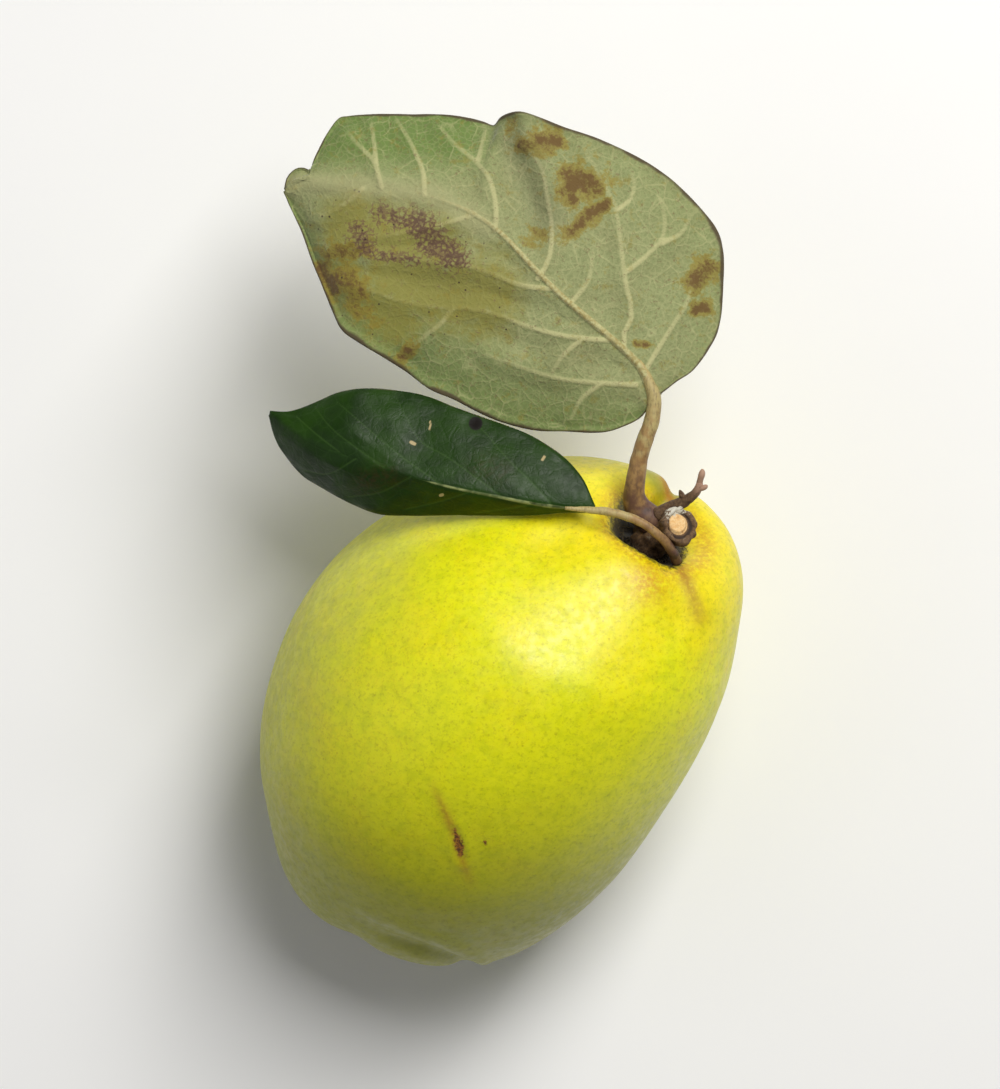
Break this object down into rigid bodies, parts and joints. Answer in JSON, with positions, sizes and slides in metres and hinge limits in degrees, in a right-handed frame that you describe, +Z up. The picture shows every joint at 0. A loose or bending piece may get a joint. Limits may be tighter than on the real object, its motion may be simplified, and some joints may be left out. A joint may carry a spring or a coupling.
{
  "type": "quince",
  "caption": "Pear-shaped quince lying on its flank, with a cut woody spur, a bud twig, leaves and a dried calyx.",
  "frame": {"origin": "a point of the small flat spot that the fruit rests on, below the middle of the fruit", "axes": "+Z up, square to the flat spot. +X to the right and +Y away, seen from above with the fruit's stalk end pointing away and to the right"},
  "size_m": [0.0868, 0.1523, 0.0804],
  "materials": {
    "quince_skin": "satin",
    "bark": "matte",
    "leaf_underside": "matte",
    "leaf_upper": "satin",
    "dried_calyx": "matte"
  },
  "bodies": {
    "root": {"fruit": "quince_skin", "spur": "bark", "bud_twig": "bark", "large_leaf": "leaf_underside", "small_leaf": "leaf_upper", "sepal_1": "dried_calyx", "sepal_2": "dried_calyx", "sepal_3": "dried_calyx", "sepal_4": "dried_calyx", "sepal_5": "dried_calyx", "stamen_tuft": "dried_calyx"}
  },
  "joints": []
}
